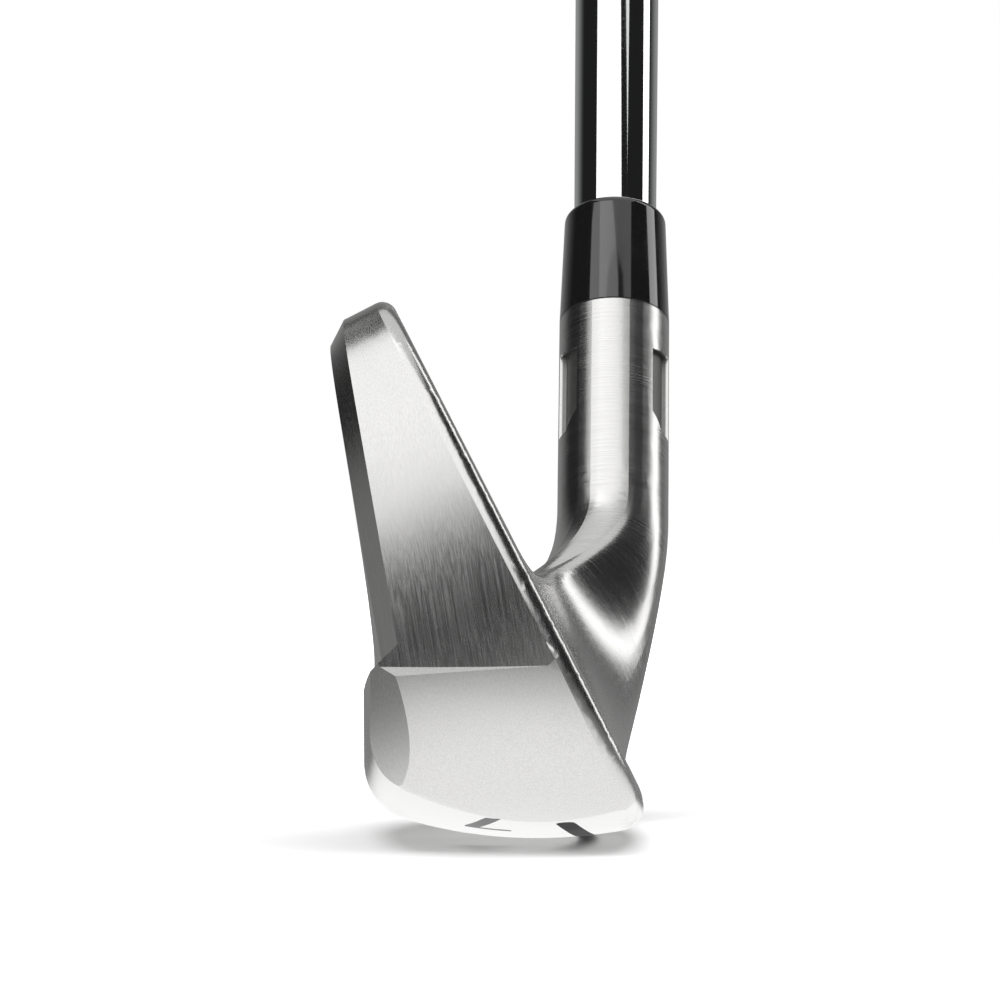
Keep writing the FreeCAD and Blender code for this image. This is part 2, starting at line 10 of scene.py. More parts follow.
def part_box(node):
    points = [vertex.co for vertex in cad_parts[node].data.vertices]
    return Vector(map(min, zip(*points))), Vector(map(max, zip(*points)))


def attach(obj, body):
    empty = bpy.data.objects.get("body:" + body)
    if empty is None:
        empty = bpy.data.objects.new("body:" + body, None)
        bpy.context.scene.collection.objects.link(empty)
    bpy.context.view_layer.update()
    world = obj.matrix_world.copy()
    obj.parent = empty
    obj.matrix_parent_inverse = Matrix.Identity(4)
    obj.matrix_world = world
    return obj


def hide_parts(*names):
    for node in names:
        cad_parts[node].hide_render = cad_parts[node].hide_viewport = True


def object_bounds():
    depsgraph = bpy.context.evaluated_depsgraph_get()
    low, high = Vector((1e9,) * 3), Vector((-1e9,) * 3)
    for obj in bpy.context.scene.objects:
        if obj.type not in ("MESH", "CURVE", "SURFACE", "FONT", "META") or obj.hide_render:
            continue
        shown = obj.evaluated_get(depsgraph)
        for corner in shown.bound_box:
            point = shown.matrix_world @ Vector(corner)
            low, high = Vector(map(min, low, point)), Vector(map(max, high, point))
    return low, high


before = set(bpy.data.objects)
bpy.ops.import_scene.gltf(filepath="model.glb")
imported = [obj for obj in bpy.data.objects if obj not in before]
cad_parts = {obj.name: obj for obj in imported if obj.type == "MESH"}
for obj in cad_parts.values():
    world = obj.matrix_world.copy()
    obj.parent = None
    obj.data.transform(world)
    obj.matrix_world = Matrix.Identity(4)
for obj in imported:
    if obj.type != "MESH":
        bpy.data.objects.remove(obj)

CAD_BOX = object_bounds()

bl_info = {
    "name": "Iron Golf Club",
    "version": (1, 0, 0),
    "blender": (4, 5, 0),
    "location": "3D View > Sidebar > Golf Club",
    "description": "Finishes the club's parts and turns its shaft, ferrule and grip",
    "category": "Object",
}

# ---------------------------------------------------------------- fixed details, in metres

# tilt of the toe's brush lines, which follow its rear edge
TOE_LINES_TURN = math.radians(10.5)
# height along the shaft at which the blasting of the hosel's pockets fades in
POCKETS_BEGIN = (0.044, 0.046)
# half width and half depth of the floor under the head that is painted pale in reflections
UNDER_HEAD = (0.045, 0.10)
# the grip's faces round and along it, its smooth ends and its smooth band, counted in rows
GRIP_SEGMENTS = 48
GRIP_ROWS = 168
GRIP_SMOOTH_END = 8
GRIP_SMOOTH_BAND = (74, 86)
# faces of the grip nearer to its axis than this belong to its bore
GRIP_BORE_REACH = 0.0084
# length of a step's ramp on the shaft, and the soft corner at each end of it
STEP_RAMP = 0.001
STEP_SOFTNESS = 0.0003
# height along the shaft at which its bore reaches full width
BORE_SHOULDER = 0.67
# wall of the shaft at its foot
TIP_WALL = 0.0009

# ---------------------------------------------------------------- sizes and colours


def length(name, description, default):
    """A length that a user can change."""
    return FloatProperty(name=name, description=description, default=default, unit="LENGTH", precision=5)


def colour(name, description, default):
    """A colour that a user can change."""
    return FloatVectorProperty(
        name=name, description=description, default=default, subtype="COLOR", min=0, max=1
    )


class ClubSizes(PropertyGroup):
    """Where the shaft stands, and the diameters along it."""

    lie: FloatProperty(
        name="Lie", description="Angle between the shaft and the ground",
        default=math.radians(62), subtype="ANGLE",
    )
    loft: FloatProperty(
        name="Loft", description="Angle between the face and the upright",
        default=math.radians(28), subtype="ANGLE",
    )
    shaft_plane: length("Shaft plane", "How far ahead of the sole's rest point the shaft stands", 0.0086)
    shaft_foot: length("Shaft foot", "Where the shaft's axis meets the ground, towards the heel", 0.03675)
    club_length: length("Club length", "From the ground to the butt, along the shaft", 0.940)
    hosel_top: length("Hosel top", "Rim of the hosel, along the shaft", 0.0625)
    hosel_diameter: length("Hosel diameter", "Outside diameter of the hosel", 0.0125)
    crotch_radius: length("Crotch radius", "Bend on the inside of the neck", 0.010)
    neck_end: length("Neck end", "Where the neck becomes the straight hosel, along the shaft", 0.038)
    ferrule_length: length("Ferrule length", "Length of the ferrule", 0.014)
    ferrule_top: length("Ferrule top", "Diameter of the ferrule's upper end", 0.0116)
    shaft_start: length("Shaft start", "Foot of the shaft inside the hosel", 0.0339)
    tip_diameter: length("Tip diameter", "Shaft diameter at its foot", 0.00902)
    waist_diameter: length("Waist diameter", "Shaft diameter below the first step", 0.0101)
    butt_diameter: length("Butt diameter", "Shaft diameter under the grip", 0.01524)
    wall: length("Shaft wall", "Wall of the shaft", 0.0006)
    taper_end: length("Taper end", "Where the tip's taper ends, along the shaft", 0.150)
    first_step: length("First step", "Height of the lowest step, along the shaft", 0.250)
    step_pitch: length("Step pitch", "Distance between two steps", 0.032)
    step_count: IntProperty(name="Steps", description="Number of steps on the shaft", default=13)
    grip_length: length("Grip length", "From the grip's mouth to the butt", 0.267)
    grip_mouth: length("Grip mouth", "Diameter of the grip's lower end", 0.0176)
    grip_waist: length("Grip waist", "Diameter half way up the grip", 0.0208)
    grip_butt: length("Grip butt", "Diameter near the cap", 0.0256)
    cap_depth: length("Cap depth", "Thickness of the grip's cap", 0.004)
    cap_diameter: length("Cap diameter", "Diameter of the grip's cap", 0.0268)
    vent_diameter: length("Vent diameter", "Hole in the middle of the cap", 0.003)
    groove_depth: length("Groove depth", "Depth of the grip's moulded slots", 0.00045)


class ClubFinish(PropertyGroup):
    """Colours of the club's finishes."""

    steel: colour("Head steel", "Nickel-toned satin steel of the head", (0.62, 0.617, 0.61))
    face_steel: colour("Face steel", "Satin steel of the face plate", (0.58, 0.575, 0.565))
    chrome: colour("Chrome", "Plating of the shaft", (0.80, 0.81, 0.82))
    ferrule: colour("Ferrule", "Polished black plastic", (0.006, 0.006, 0.0065))
    rubber: colour("Grip rubber", "Moulded rubber of the grip", (0.018, 0.018, 0.019))
    polymer: colour("Slot polymer", "Elastomer in the sole's slot", (0.014, 0.014, 0.014))
    enamel: colour("Enamel", "Paint in the numeral", (0.008, 0.008, 0.008))
    badge: colour("Badge", "Anodised plate on the back", (0.16, 0.165, 0.175))
    foam: colour("Foam", "Foam in the head", (0.80, 0.74, 0.52))
    tungsten: colour("Tungsten", "Sintered toe weight", (0.30, 0.30, 0.31))
    brass: colour("Brass", "Turned tip weight", (0.78, 0.58, 0.27))
    epoxy: colour("Epoxy", "Cured adhesive in the bore", (0.46, 0.36, 0.16))
    tape: colour("Tape", "Tape under the grip", (0.74, 0.68, 0.50))


class StudioSettings(PropertyGroup):
    """The floor, the lights and the camera."""

    floor: colour("Floor", "Pale floor", (0.90, 0.90, 0.90))
    key_power: FloatProperty(name="Key", description="Power of the large softbox", default=21.5, min=0)
    strip_power: FloatProperty(name="Strip", description="Power of the narrow softbox", default=4, min=0)
    top_power: FloatProperty(name="Top", description="Power of the overhead fill", default=52, min=0)
    sheen_power: FloatProperty(name="Sheen", description="Power of the overhead softbox", default=12, min=0)
    camera_distance: length("Camera distance", "From the origin to the camera", 0.700)
    camera_height: length("Camera height", "Height of the camera", 0.035)
    camera_shift: length("Camera offset", "Sideways place of the camera", -0.0041)
    camera_roll: FloatProperty(
        name="Camera roll", description="Turn of the camera about its view",
        default=math.radians(0.97), subtype="ANGLE",
    )
    focal_length: FloatProperty(name="Focal length", description="In millimetres", default=241.85)


# ---------------------------------------------------------------- shaft frame


def shaft_frame(sizes):
    """Place of the shaft's own axes: Z runs up the shaft, X is the target direction."""
    turn = Matrix.Rotation(sizes.lie - math.pi / 2, 4, "X")
    return Matrix.Translation((sizes.shaft_plane, sizes.shaft_foot, 0)) @ turn


def neck_pivot(sizes):
    """Middle of the neck's bend."""
    reach = sizes.crotch_radius + sizes.hosel_diameter / 2
    return shaft_frame(sizes) @ Vector((0, -reach, sizes.neck_end))


# ---------------------------------------------------------------- shader helpers


def new_node(tree, kind, **settings):
    node = tree.nodes.new(kind)
    for name, value in settings.items():
        setattr(node, name, value)
    return node


def feed(tree, socket, value):
    """Links a socket, or sets its constant."""
    if isinstance(value, bpy.types.NodeSocket):
        tree.links.new(value, socket)
    else:
        socket.default_value = value


def calc(tree, operation, *values):
    node = new_node(tree, "ShaderNodeMath", operation=operation)
    for socket, value in zip(node.inputs, values):
        feed(tree, socket, value)
    return node.outputs[0]


def length_of(tree, first, second):
    """Length of a vector that has these two parts."""
    squares = [calc(tree, "MULTIPLY", part, part) for part in (first, second)]
    return calc(tree, "SQRT", calc(tree, "ADD", *squares))


def fade(tree, value, low, high, start=0.0, end=1.0):
    """A smooth step from start to end as the value goes from low to high."""
    node = new_node(tree, "ShaderNodeMapRange", interpolation_type="SMOOTHSTEP")
    for socket, number in zip(node.inputs, (value, low, high, start, end)):
        feed(tree, socket, number)
    return node.outputs[0]


def blend(tree, share, first, second):
    """A mix of two colours."""
    node = new_node(tree, "ShaderNodeMix", data_type="RGBA")
    feed(tree, node.inputs[0], share)
    feed(tree, node.inputs[6], first)
    feed(tree, node.inputs[7], second)
    return node.outputs[2]


def weigh(tree, share, first, second):
    """A mix of two numbers."""
    node = new_node(tree, "ShaderNodeMix", data_type="FLOAT")
    feed(tree, node.inputs[0], share)
    feed(tree, node.inputs[2], first)
    feed(tree, node.inputs[3], second)
    return node.outputs[0]


def place(tree, vector, location=(0, 0, 0), rotation=(0, 0, 0), scale=(1, 1, 1), kind="POINT"):
    node = new_node(tree, "ShaderNodeMapping", vector_type=kind)
    feed(tree, node.inputs["Vector"], vector)
    node.inputs["Location"].default_value = location
    node.inputs["Rotation"].default_value = rotation
    node.inputs["Scale"].default_value = scale
    return node.outputs[0]


def on_shaft(tree, spot, sizes):
    """A point's place in the shaft's own axes."""
    foot = (sizes.shaft_plane, sizes.shaft_foot, 0)
    return place(tree, spot, foot, (sizes.lie - math.pi / 2, 0, 0), kind="TEXTURE")


def parts_of(tree, vector):
    node = new_node(tree, "ShaderNodeSeparateXYZ")
    feed(tree, node.inputs[0], vector)
    return node.outputs


def joined(tree, x, y, z):
    node = new_node(tree, "ShaderNodeCombineXYZ")
    for socket, value in zip(node.inputs, (x, y, z)):
        feed(tree, socket, value)
    return node.outputs[0]


def noise(tree, vector, scale, detail=2.0, roughness=0.5):
    node = new_node(tree, "ShaderNodeTexNoise")
    feed(tree, node.inputs["Vector"], vector)
    feed(tree, node.inputs["Scale"], scale)
    node.inputs["Detail"].default_value = detail
    node.inputs["Roughness"].default_value = roughness
    return node.outputs[0]


def bump(tree, height, depth, strength=1.0):
    node = new_node(tree, "ShaderNodeBump")
    feed(tree, node.inputs["Height"], height)
    node.inputs["Distance"].default_value = depth
    node.inputs["Strength"].default_value = strength
    return node.outputs[0]


def new_group(name, inputs, outputs):
    """An empty shader group. Inputs and outputs are (name, kind, default) and (name, kind)."""
    tree = bpy.data.node_groups.new(name, "ShaderNodeTree")
    for label, kind, default in inputs:
        socket = tree.interface.new_socket(label, in_out="INPUT", socket_type=kind)
        if default is not None:
            socket.default_value = default
    for label, kind in outputs:
        tree.interface.new_socket(label, in_out="OUTPUT", socket_type=kind)
    return tree, new_node(tree, "NodeGroupInput").outputs, new_node(tree, "NodeGroupOutput").inputs


def use_group(tree, name, **values):
    node = new_node(tree, "ShaderNodeGroup", node_tree=bpy.data.node_groups[name])
    for label, value in values.items():
        feed(tree, node.inputs[label.replace("_", " ")], value)
    return node.outputs


# ---------------------------------------------------------------- shared effects


def brushing_group():
    """Lines left by a belt: short in X and Z, long in Y of the vector that comes in."""
    tree, given, out = new_group(
        "brushing",
        [("Vector", "NodeSocketVector", None), ("Density", "NodeSocketFloat", 5200.0)],
        [("Height", "NodeSocketFloat"), ("Streaks", "NodeSocketFloat")],
    )
    across = place(tree, given["Vector"], scale=(1, 0.007, 1))
    fine = noise(tree, across, given["Density"], 3.0, 0.65)
    wide = noise(tree, across, calc(tree, "MULTIPLY", given["Density"], 0.16), 2.0, 0.6)
    wide_share = 0.10
    fine_part = calc(tree, "MULTIPLY", fine, 1 - wide_share)
    height = calc(tree, "MULTIPLY_ADD", wide, wide_share, fine_part)
    tree.links.new(height, out["Height"])
    tree.links.new(fade(tree, height, 0.34, 0.66), out["Streaks"])


def handling_group():
    """Soft smudges and a little dust, from 0 on clean surface to 1."""
    tree, given, out = new_group(
        "handling",
        [("Vector", "NodeSocketVector", None), ("Scale", "NodeSocketFloat", 70.0)],
        [("Smudge", "NodeSocketFloat"), ("Dust", "NodeSocketFloat")],
    )
    cloud = noise(tree, given["Vector"], given["Scale"], 4.0, 0.6)
    speck = noise(tree, given["Vector"], calc(tree, "MULTIPLY", given["Scale"], 42.0), 2.0, 0.7)
    smudge = fade(tree, cloud, 0.42, 0.68)
    tree.links.new(smudge, out["Smudge"])
    tree.links.new(calc(tree, "MULTIPLY", fade(tree, speck, 0.62, 0.74), smudge), out["Dust"])


def grit_group():
    """Even grain in every direction, as of blasted metal or moulded rubber."""
    tree, given, out = new_group(
        "grit",
        [("Vector", "NodeSocketVector", None), ("Scale", "NodeSocketFloat", 4000.0)],
        [("Height", "NodeSocketFloat"), ("Mask", "NodeSocketFloat")],
    )
    cells = new_node(tree, "ShaderNodeTexVoronoi")
    tree.links.new(given["Vector"], cells.inputs["Vector"])
    tree.links.new(given["Scale"], cells.inputs["Scale"])
    grain = noise(tree, given["Vector"], given["Scale"], 3.0, 0.6)
    half_grain = calc(tree, "MULTIPLY", grain, 0.5)
    height = calc(tree, "MULTIPLY_ADD", cells.outputs["Distance"], 0.5, half_grain)
    tree.links.new(height, out["Height"])
    tree.links.new(fade(tree, height, 0.35, 0.6), out["Mask"])


def turning_group():
    """Rings left by a lathe about Z of the vector that comes in."""
    tree, given, out = new_group(
        "turning",
        [("Vector", "NodeSocketVector", None), ("Pitch", "NodeSocketFloat", 5000.0)],
        [("Height", "NodeSocketFloat")],
    )
    x, y, z = parts_of(tree, given["Vector"])
    along = joined(tree, length_of(tree, x, y), 0.0, z)
    tree.links.new(noise(tree, along, given["Pitch"], 2.0, 0.6), out["Height"])


# ---------------------------------------------------------------- finishes


def new_finish(name, base, metallic, roughness, **constants):
    """A material with its shader, and its tree and object coordinates to build on."""
    material = bpy.data.materials.new(name)
    material.use_nodes = True
    tree = material.node_tree
    shader = tree.nodes["Principled BSDF"]
    shader.inputs["Base Color"].default_value = (*base, 1)
    shader.inputs["Metallic"].default_value = metallic
    shader.inputs["Roughness"].default_value = roughness
    for label, value in constants.items():
        shader.inputs[label.replace("_", " ")].default_value = value
    coordinates = new_node(tree, "ShaderNodeTexCoord")
    return material, tree, shader.inputs, coordinates.outputs


def tinted(base, factor):
    return (*[min(1.0, channel * factor) for channel in base], 1)


def club_steel(sizes, base):
    """The head: belt-brushed along the blade, ringed round the hosel, blasted in its pockets."""
    material, tree, shader, given = new_finish("brushed_head_steel", base, 1.0, 0.25)
    spot = given["Object"]
    hosel_x, hosel_y, along = parts_of(tree, on_shaft(tree, spot, sizes))
    pivot = neck_pivot(sizes)
    _, fan_y, fan_z = parts_of(tree, place(tree, spot, tuple(-pivot)))

    # how far round the neck a point lies, then how far up the hosel
    bend = sizes.crotch_radius + sizes.hosel_diameter / 2
    fan = calc(tree, "ARCTAN2", fan_y, calc(tree, "MULTIPLY", fan_z, -1.0))
    fan = calc(tree, "MINIMUM", calc(tree, "MAXIMUM", fan, -0.4), sizes.lie)
    above = calc(tree, "MAXIMUM", calc(tree, "SUBTRACT", along, sizes.neck_end), 0.0)
    ring = calc(tree, "MULTIPLY_ADD", fan, bend, above)
    rings = joined(tree, ring, hosel_x, calc(tree, "MULTIPLY", hosel_y, 0.02))

    # the toe is brushed down its rear edge, all the rest from heel to toe
    toe_lines = place(tree, spot, rotation=(0, TOE_LINES_TURN, 0))
    toe_lines = place(tree, toe_lines, rotation=(math.pi / 2, 0, 0))
    blade_brush = use_group(tree, "brushing", Vector=spot, Density=7500.0)
    toe_brush = use_group(tree, "brushing", Vector=toe_lines, Density=9000.0)
    neck_brush = use_group(tree, "brushing", Vector=rings, Density=8000.0)
    normal = parts_of(tree, given["Normal"])
    toe_share = fade(tree, calc(tree, "MULTIPLY", normal[1], -1.0), 0.18, 0.42)
    neck_share = fade(tree, fan, -0.12, 0.22)
    brushed = {}
    for label in ("Height", "Streaks"):
        on_blade = weigh(tree, toe_share, blade_brush[label], toe_brush[label])
        brushed[label] = weigh(tree, neck_share, on_blade, neck_brush[label])

    # blasted floor of the pockets, and the reamed bore
    radius = length_of(tree, hosel_x, hosel_y)
    hosel_radius = sizes.hosel_diameter / 2
    below_skin = fade(tree, radius, hosel_radius - 0.0004, hosel_radius - 0.0002, 1.0, 0.0)
    sunk = calc(tree, "MULTIPLY", below_skin, fade(tree, along, *POCKETS_BEGIN))
    blasted = use_group(tree, "grit", Vector=spot, Scale=7000.0)
    smudges = use_group(tree, "handling", Vector=spot, Scale=55.0)

    tone = blend(tree, brushed["Streaks"], tinted(base, 0.89), tinted(base, 1.03))
    tone = blend(tree, sunk, tone, tinted(base, 0.42))
    feed(tree, shader["Base Color"], tone)
    rough = calc(tree, "MULTIPLY_ADD", brushed["Streaks"], 0.07, 0.20)
    rough = calc(tree, "MULTIPLY_ADD", smudges["Smudge"], 0.03, rough)
    feed(tree, shader["Roughness"], calc(tree, "MULTIPLY_ADD", sunk, 0.28, rough))
    height = calc(
        tree, "ADD",
        calc(tree, "MULTIPLY", brushed["Height"], calc(tree, "SUBTRACT", 1.0, sunk)),
        calc(tree, "MULTIPLY", blasted["Height"], sunk),
    )
    feed(tree, shader["Normal"], bump(tree, height, 0.000007, 0.5))
    return material


def face_steel(sizes, base):
    """The face plate: finely milled from heel to toe, with painted shade darkening its score lines."""
    material, tree, shader, given = new_finish("milled_face_steel", base, 1.0, 0.3)
    spot = given["Object"]
    milled = use_group(tree, "brushing", Vector=spot, Density=6500.0)
    blasted = use_group(tree, "grit", Vector=spot, Scale=6000.0)
    smudges = use_group(tree, "handling", Vector=spot, Scale=60.0)
    low, high = (Vector(corner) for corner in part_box("face_plate"))
    outward = Vector((math.cos(sizes.loft), 0, math.sin(sizes.loft)))
    surface = outward.dot(Vector((high.x, 0, low.z)))
    x, _, z = parts_of(tree, spot)
    out = calc(tree, "MULTIPLY_ADD", x, outward.x, calc(tree, "MULTIPLY", z, outward.z))
    # painted shade: where the face is sunk behind its surface, in the score lines, the colour is darkened
    groove = fade(tree, out, surface - 0.0012, surface - 0.0009, 1.0, 0.0)
    tone = blend(tree, milled["Streaks"], tinted(base, 0.9), tinted(base, 1.06))
    feed(tree, shader["Base Color"], blend(tree, groove, tone, tinted(base, 0.35)))
    rough = calc(tree, "MULTIPLY_ADD", milled["Streaks"], 0.08, 0.27)
    feed(tree, shader["Roughness"], calc(tree, "MULTIPLY_ADD", smudges["Smudge"], 0.06, rough))
    height = calc(tree, "MULTIPLY_ADD", blasted["Height"], 0.35, milled["Height"])
    feed(tree, shader["Normal"], bump(tree, height, 0.000018, 0.5))
    return material


def turned_metal(name, base, roughness, centre, rotation, pitch):
    """Metal faced on a lathe about its own axis."""
    material, tree, shader, given = new_finish(name, base, 1.0, roughness)
    about = place(tree, given["Object"], centre, rotation, kind="TEXTURE")
    rings = use_group(tree, "turning", Vector=about, Pitch=pitch)
    smudges = use_group(tree, "handling", Vector=given["Object"], Scale=90.0)
    feed(tree, shader["Base Color"], blend(tree, rings["Height"], tinted(base, 0.82), tinted(base, 1.1)))
    feed(tree, shader["Roughness"], calc(tree, "MULTIPLY_ADD", smudges["Smudge"], 0.1, roughness))
    feed(tree, shader["Normal"], bump(tree, rings["Height"], 0.00002, 0.6))
    return material


def plated_chrome(sizes, base):
    """Mirror plating with faint polishing rings and smudges."""
    material, tree, shader, given = new_finish("plated_chrome", base, 1.0, 0.05)
    spot = given["Object"]
    rings = use_group(tree, "turning", Vector=on_shaft(tree, spot, sizes), Pitch=2600.0)
    smudges = use_group(tree, "handling", Vector=spot, Scale=38.0)
    feed(tree, shader["Base Color"], blend(tree, smudges["Dust"], tinted(base, 1.0), tinted(base, 0.86)))
    rough = calc(tree, "MULTIPLY_ADD", smudges["Smudge"], 0.028, 0.032)
    feed(tree, shader["Roughness"], calc(tree, "MULTIPLY_ADD", smudges["Dust"], 0.12, rough))
    feed(tree, shader["Normal"], bump(tree, rings["Height"], 0.000002, 0.25))
    return material


def moulded(name, base, roughness, grain, depth, **constants):
    """Plastic, paint or rubber with an even grain."""
    material, tree, shader, given = new_finish(name, base, 0.0, roughness, **constants)
    spot = given["Object"]
    grit = use_group(tree, "grit", Vector=spot, Scale=grain)
    smudges = use_group(tree, "handling", Vector=spot, Scale=80.0)
    worn = blend(tree, grit["Mask"], tinted(base, 0.8), tinted(base, 1.25))
    feed(tree, shader["Base Color"], blend(tree, smudges["Dust"], worn, tinted(base, 3.0)))
    feed(tree, shader["Roughness"], calc(tree, "MULTIPLY_ADD", smudges["Smudge"], 0.08, roughness))
    feed(tree, shader["Normal"], bump(tree, grit["Height"], depth, 0.5))
    return material


def polished_plastic(base):
    """The ferrule: buffed, so only faint waves and smudges are left on it."""
    material, tree, shader, given = new_finish(
        "polished_black_plastic", base, 0.0, 0.09, Coat_Weight=0.8, Coat_Roughness=0.04
    )
    smudges = use_group(tree, "handling", Vector=given["Object"], Scale=120.0)
    waves = noise(tree, given["Object"], 420.0, 2.0, 0.5)
    feed(tree, shader["Base Color"], blend(tree, smudges["Dust"], tinted(base, 1.0), tinted(base, 5.0)))
    feed(tree, shader["Roughness"], calc(tree, "MULTIPLY_ADD", smudges["Smudge"], 0.06, 0.07))
    feed(tree, shader["Normal"], bump(tree, waves, 0.00001, 0.2))
    return material


def anodised(base):
    """The badge: a blank plate, brushed across and anodised."""
    material, tree, shader, given = new_finish("anodised_badge", base, 1.0, 0.34)
    lines = place(tree, given["Object"], rotation=(math.radians(35), 0, 0))
    brushed = use_group(tree, "brushing", Vector=lines, Density=7000.0)
    smudges = use_group(tree, "handling", Vector=given["Object"], Scale=60.0)
    feed(tree, shader["Base Color"], blend(tree, brushed["Streaks"], tinted(base, 0.85), tinted(base, 1.2)))
    feed(tree, shader["Roughness"], calc(tree, "MULTIPLY_ADD", smudges["Smudge"], 0.08, 0.32))
    feed(tree, shader["Normal"], bump(tree, brushed["Height"], 0.00001, 0.5))
    return material


def foamed(base):
    """Closed-cell foam, with the cells that the cut opened, and painted shade darkening their pits."""
    material, tree, shader, given = new_finish("cast_foam", base, 0.0, 0.9)
    cells = new_node(tree, "ShaderNodeTexVoronoi")
    feed(tree, cells.inputs["Vector"], given["Object"])
    cells.inputs["Scale"].default_value = 900.0
    grit = use_group(tree, "grit", Vector=given["Object"], Scale=2600.0)
    hole = fade(tree, cells.outputs["Distance"], 0.15, 0.45)
    # painted shade: the middles of the opened cells, where they sink, are darkened
    feed(tree, shader["Base Color"], blend(tree, hole, tinted(base, 0.66), tinted(base, 1.06)))
    feed(tree, shader["Roughness"], calc(tree, "MULTIPLY_ADD", grit["Mask"], 0.1, 0.82))
    feed(tree, shader["Normal"], bump(tree, hole, 0.00025, 0.6))
    return material


def cured_epoxy(base):
    """Amber adhesive with trapped bubbles."""
    material, tree, shader, given = new_finish("cured_epoxy", base, 0.0, 0.22)
    bubbles = new_node(tree, "ShaderNodeTexVoronoi")
    feed(tree, bubbles.inputs["Vector"], given["Object"])
    bubbles.inputs["Scale"].default_value = 1400.0
    rim = fade(tree, bubbles.outputs["Distance"], 0.1, 0.24)
    cloud = noise(tree, given["Object"], 300.0, 3.0, 0.6)
    feed(tree, shader["Base Color"], blend(tree, cloud, tinted(base, 0.7), tinted(base, 1.4)))
    feed(tree, shader["Roughness"], calc(tree, "MULTIPLY_ADD", cloud, 0.2, 0.12))
    feed(tree, shader["Normal"], bump(tree, rim, 0.0001, 0.4))
    return material


def creped_tape(sizes, base):
    """Paper tape wound round the butt, creped along the shaft."""
    material, tree, shader, given = new_finish("creped_tape", base, 0.0, 0.8)
    x, y, z = parts_of(tree, on_shaft(tree, given["Object"], sizes))
    squeezed = joined(tree, calc(tree, "MULTIPLY", x, 0.2), calc(tree, "MULTIPLY", y, 0.2), z)
    crease = noise(tree, squeezed, 1900.0, 3.0)
    fibre = noise(tree, given["Object"], 900.0, 4.0, 0.7)
    feed(tree, shader["Base Color"], blend(tree, fibre, tinted(base, 0.8), tinted(base, 1.12)))
    feed(tree, shader["Roughness"], calc(tree, "MULTIPLY_ADD", crease, 0.2, 0.66))
    feed(tree, shader["Normal"], bump(tree, crease, 0.00008, 0.7))
    return material


# ---------------------------------------------------------------- meshes


def finished_piece(name, mesh_data, frame_matrix, material, sharp=35):
    """Makes an object at the origin from a bmesh in the shaft's frame."""
    bmesh.ops.remove_doubles(mesh_data, verts=mesh_data.verts, dist=1e-6)
    bmesh.ops.recalc_face_normals(mesh_data, faces=mesh_data.faces)
    bmesh.ops.transform(mesh_data, matrix=frame_matrix, verts=mesh_data.verts)
    mesh = bpy.data.meshes.new(name)
    mesh_data.to_mesh(mesh)
    mesh_data.free()
    mesh.shade_smooth()
    mesh.set_sharp_from_angle(angle=math.radians(sharp))
    mesh.materials.append(material)
    piece = bpy.data.objects.new(name, mesh)
    bpy.context.scene.collection.objects.link(piece)
    return piece


def turned(profile, segments):
    """A closed profile of (radius, height) spun round Z."""
    mesh_data = bmesh.new()
    corners = [mesh_data.verts.new((radius, 0, height)) for radius, height in profile]
    rims = [mesh_data.edges.new(pair) for pair in zip(corners, corners[1:] + corners[:1])]
    bmesh.ops.spin(
        mesh_data, geom=corners + rims, cent=(0, 0, 0), axis=(0, 0, 1),
        angle=2 * math.pi, steps=segments, use_merge=True,
    )
    return mesh_data


def rounded_corner(radius, height, out, up, size, steps=6):
    """Points of a quarter round: out and up say which way the corner points."""
    centre_radius = radius - out * size
    centre_height = height - up * size
    turns = [step * math.pi / 2 / steps for step in range(steps + 1)]
    points = [
        (centre_radius + out * size * math.cos(turn), centre_height + up * size * math.sin(turn))
        for turn in turns
    ]
    return points if up > 0 else points[::-1]


def shaft_radius(sizes, height):
    """Outer radius of the shaft's tip, which tapers up to its waist."""
    share = min(1.0, (height - sizes.shaft_start) / (sizes.taper_end - sizes.shaft_start))
    return (sizes.tip_diameter + (sizes.waist_diameter - sizes.tip_diameter) * share) / 2


def shaft_profile(sizes):
    """Outside of the stepped shaft from its foot to its butt, then down its inside."""
    top = sizes.club_length - sizes.cap_depth
    growth = (sizes.butt_diameter - sizes.waist_diameter) / 2 / sizes.step_count
    tip_heights = (sizes.shaft_start, 0.07, 0.11, sizes.taper_end)
    profile = [(shaft_radius(sizes, height), height) for height in tip_heights]
    radius = sizes.waist_diameter / 2
    for step in range(sizes.step_count):
        height = sizes.first_step + step * sizes.step_pitch
        profile += [(radius, height - STEP_SOFTNESS), (radius + growth * 0.08, height + STEP_RAMP * 0.15)]
        radius += growth
        height += STEP_RAMP
        profile += [(radius - growth * 0.08, height - STEP_RAMP * 0.15), (radius, height + STEP_SOFTNESS)]
    butt = sizes.butt_diameter / 2
    waist = sizes.waist_diameter / 2
    profile += [
        (butt, top), (butt - sizes.wall, top), (butt - sizes.wall, BORE_SHOULDER),
        (waist - sizes.wall, sizes.first_step),
        (shaft_radius(sizes, sizes.shaft_start) - TIP_WALL, sizes.shaft_start),
    ]
    return profile


def grip_radius(sizes, share):
    """Outer radius of the grip from its mouth, share 0, to the cap, share 1."""
    mouth, waist, butt = sizes.grip_mouth / 2, sizes.grip_waist / 2, sizes.grip_butt / 2
    if share < 0.5:
        return mouth + (waist - mouth) * share / 0.5
    return waist + (butt - waist) * min(1.0, (share - 0.5) / 0.41)


# ---------------------------------------------------------------- operators


def put_on(node, material):
    """Gives a carried-over node its finish."""
    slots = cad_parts[node].data.materials
    slots.clear()
    slots.append(material)


